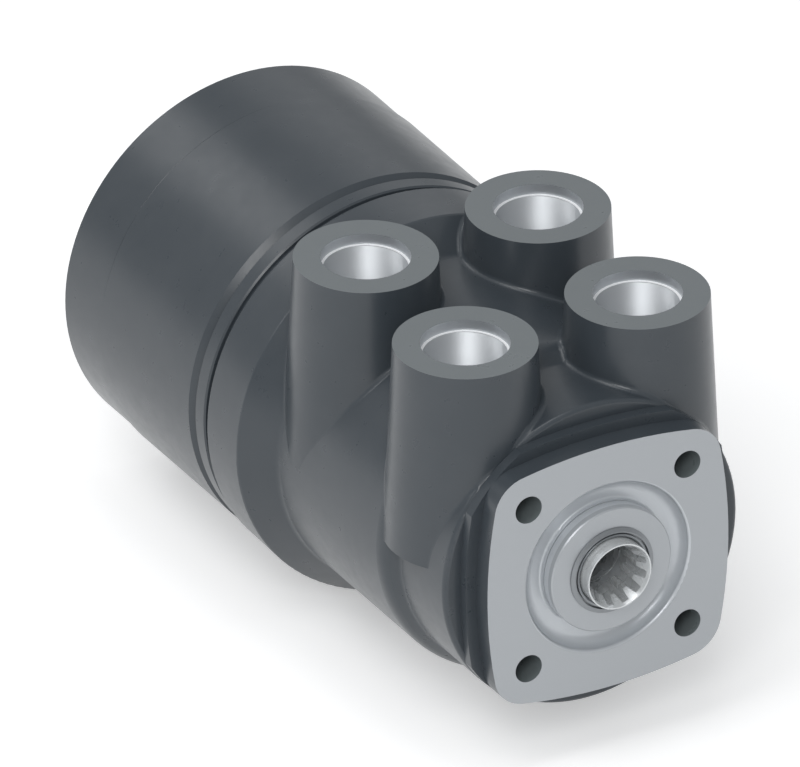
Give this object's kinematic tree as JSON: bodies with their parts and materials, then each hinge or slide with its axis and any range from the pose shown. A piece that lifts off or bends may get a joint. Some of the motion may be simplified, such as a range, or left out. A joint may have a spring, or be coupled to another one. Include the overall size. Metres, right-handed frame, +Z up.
{
  "type": "orbital steering unit",
  "caption": "Hydraulic orbital steering unit: flanged valve casting with drafted port bosses, splined input spool, gerotor gear set and bolted end cover.",
  "frame": {"origin": "centre of the front flange's face", "axes": "+Y along the long axis from the splined input to the end cover, +Z up through the port bosses, +X to the right seen from the front"},
  "size_m": [0.1004, 0.1823, 0.1056],
  "materials": {
    "casting": "satin",
    "stack_paint": "satin",
    "valve_steel": "ground",
    "gear_steel": "ground",
    "bearing_steel": "polished bearing steel",
    "spring_steel": "ground",
    "nitrile": "matt",
    "wiper": "matt",
    "ptfe": "matt",
    "screw_black": "black oxide",
    "washer_steel": "ground"
  },
  "bodies": {
    "casing": {"housing": "casting", "dust_seal": "wiper", "seal_backup_ring": "ptfe", "shaft_seal": "nitrile", "bearing_front_race": "bearing_steel", "ball_stop": "gear_steel", "housing_o_ring": "nitrile", "distributor_plate": "stack_paint", "plate_o_ring": "nitrile", "gear_ring": "stack_paint", "cover_o_ring": "nitrile", "end_cover": "stack_paint", "cover_screws": "screw_black", "screw_washers": "washer_steel"},
    "sleeve": {"sleeve": "valve_steel", "cross_pin": "bearing_steel", "spring_ring": "spring_steel", "bearing_rear_race": "bearing_steel", "centring_springs": "spring_steel", "spring_plates": "spring_steel"},
    "spool": {"spool": "valve_steel"},
    "cage": {"bearing_cage": "bearing_steel", "bearing_needles": "bearing_steel"},
    "orbit": {"star_spacer": "gear_steel"},
    "star": {"gear_star": "gear_steel"},
    "shaft": {"drive_shaft": "gear_steel"},
    "ball": {"check_ball": "bearing_steel"}
  },
  "joints": [
    {"name": "sleeve_turn", "type": "hinge", "parent": "casing", "child": "sleeve", "pos_m": [0, 0.06, 0], "axis": [0, 1, 0], "continuous": true},
    {"name": "spool_twist", "type": "hinge", "parent": "sleeve", "child": "spool", "pos_m": [0, 0.032, 0], "axis": [0, 1, 0], "range_deg": [-10, 10], "stiffness_Nm_per_rad": 6, "deforming": ["centring_springs", "spring_plates"]},
    {"name": "cage_turn", "type": "hinge", "parent": "casing", "child": "cage", "pos_m": [0, 0.00795, 0], "axis": [0, 1, 0], "continuous": true},
    {"name": "star_orbit", "type": "hinge", "parent": "casing", "child": "orbit", "pos_m": [0, 0.136, 0], "axis": [0, 1, 0], "continuous": true},
    {"name": "star_spin", "type": "hinge", "parent": "orbit", "child": "star", "pos_m": [0, 0.136, 0.0024], "axis": [0, 1, 0], "continuous": true},
    {"name": "shaft_turn", "type": "hinge", "parent": "orbit", "child": "shaft", "pos_m": [0, 0.032, 0], "axis": [0, 0.9997, 0.0258], "continuous": true},
    {"name": "ball_lift", "type": "slide", "parent": "casing", "child": "ball", "axis": [0, 1, 0], "range_m": [0, 0.0012]}
  ],
  "couplings": [
    {"joint": "cage_turn", "follows": "sleeve_turn", "ratio": 0.5},
    {"joint": "star_orbit", "follows": "sleeve_turn", "ratio": -6},
    {"joint": "star_spin", "follows": "sleeve_turn", "ratio": 7},
    {"joint": "shaft_turn", "follows": "sleeve_turn", "ratio": 7}
  ]
}
